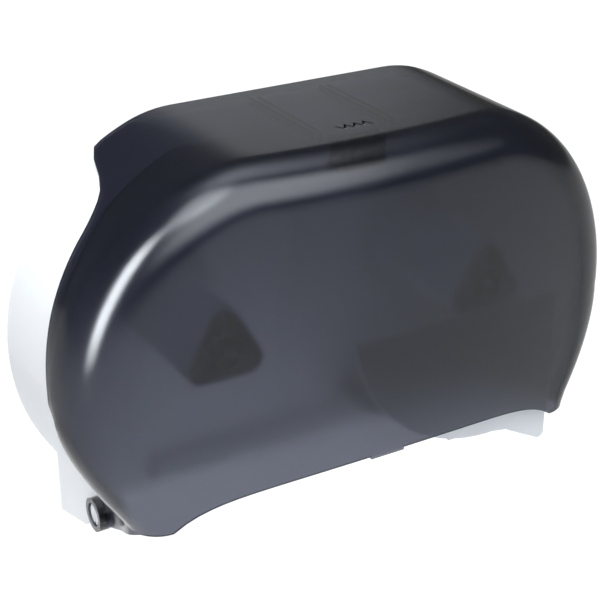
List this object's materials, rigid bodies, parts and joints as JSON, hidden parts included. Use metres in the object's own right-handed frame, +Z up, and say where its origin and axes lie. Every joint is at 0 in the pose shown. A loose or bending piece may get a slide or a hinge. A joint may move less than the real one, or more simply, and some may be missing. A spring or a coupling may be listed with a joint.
{
  "type": "twin jumbo toilet roll dispenser",
  "caption": "Wall-hung dispenser for two jumbo toilet rolls, with a smoked hinged cover, lobed roll hubs, a sliding door, tear strips and a sprung key latch.",
  "frame": {"origin": "on the wall plane, midway between the two roll hubs and at their height, which is also the centre of the four wall screws", "axes": "+X to the right as one faces the dispenser, -Y out from the wall to the front, +Z up"},
  "size_m": [0.4898, 0.168, 0.33],
  "materials": {
    "white_housing": "white moulded ABS, low gloss",
    "smoked_cover": "smoked see-through moulded plastic, satin gloss",
    "black_latch": "black moulded acetal",
    "grey_hub": "blue-grey moulded plastic",
    "frosted_door": "frosted moulded plastic",
    "steel": "zinc-plated steel"
  },
  "bodies": {
    "housing": {"rear_housing": "white_housing", "hinge_pin_left": "white_housing", "hinge_pin_right": "white_housing", "latch_block": "black_latch", "latch_spring": "steel", "latch_screws": "steel", "spindle_left": "white_housing", "spindle_right": "white_housing", "spindle_screws": "steel", "drag_washer_left": "steel", "drag_washer_right": "steel", "hub_cap_left": "black_latch", "hub_cap_right": "black_latch", "hub_cap_screws": "steel", "door_rail": "white_housing", "rail_screws": "steel", "door_stop_left": "black_latch", "door_stop_right": "black_latch", "tear_strip_left": "white_housing", "tear_strip_right": "white_housing", "tear_strip_screws": "steel"},
    "cover": {"front_cover": "smoked_cover"},
    "bolt": {"latch_bolt": "black_latch"},
    "left_hub": {"hub_left": "grey_hub"},
    "right_hub": {"hub_right": "grey_hub"},
    "door": {"sliding_door": "frosted_door", "door_glide": "grey_hub", "glide_screws": "steel"}
  },
  "joints": [
    {"name": "cover_hinge", "type": "hinge", "parent": "housing", "child": "cover", "pos_m": [0, -0.062, -0.151], "axis": [1, 0, 0], "range_deg": [0, 135]},
    {"name": "latch_press", "type": "slide", "parent": "housing", "child": "bolt", "axis": [0, 0, 1], "range_m": [-0.005, 0], "stiffness_N_per_m": 400, "springref_m": 0.002, "deforming": ["latch_spring"]},
    {"name": "left_hub_spin", "type": "hinge", "parent": "housing", "child": "left_hub", "pos_m": [-0.118, -0.06, 0], "axis": [0, -1, 0], "continuous": true},
    {"name": "right_hub_spin", "type": "hinge", "parent": "housing", "child": "right_hub", "pos_m": [0.118, -0.06, 0], "axis": [0, -1, 0], "continuous": true},
    {"name": "door_slide", "type": "slide", "parent": "housing", "child": "door", "axis": [1, 0, 0], "range_m": [-0.174, 0]}
  ]
}
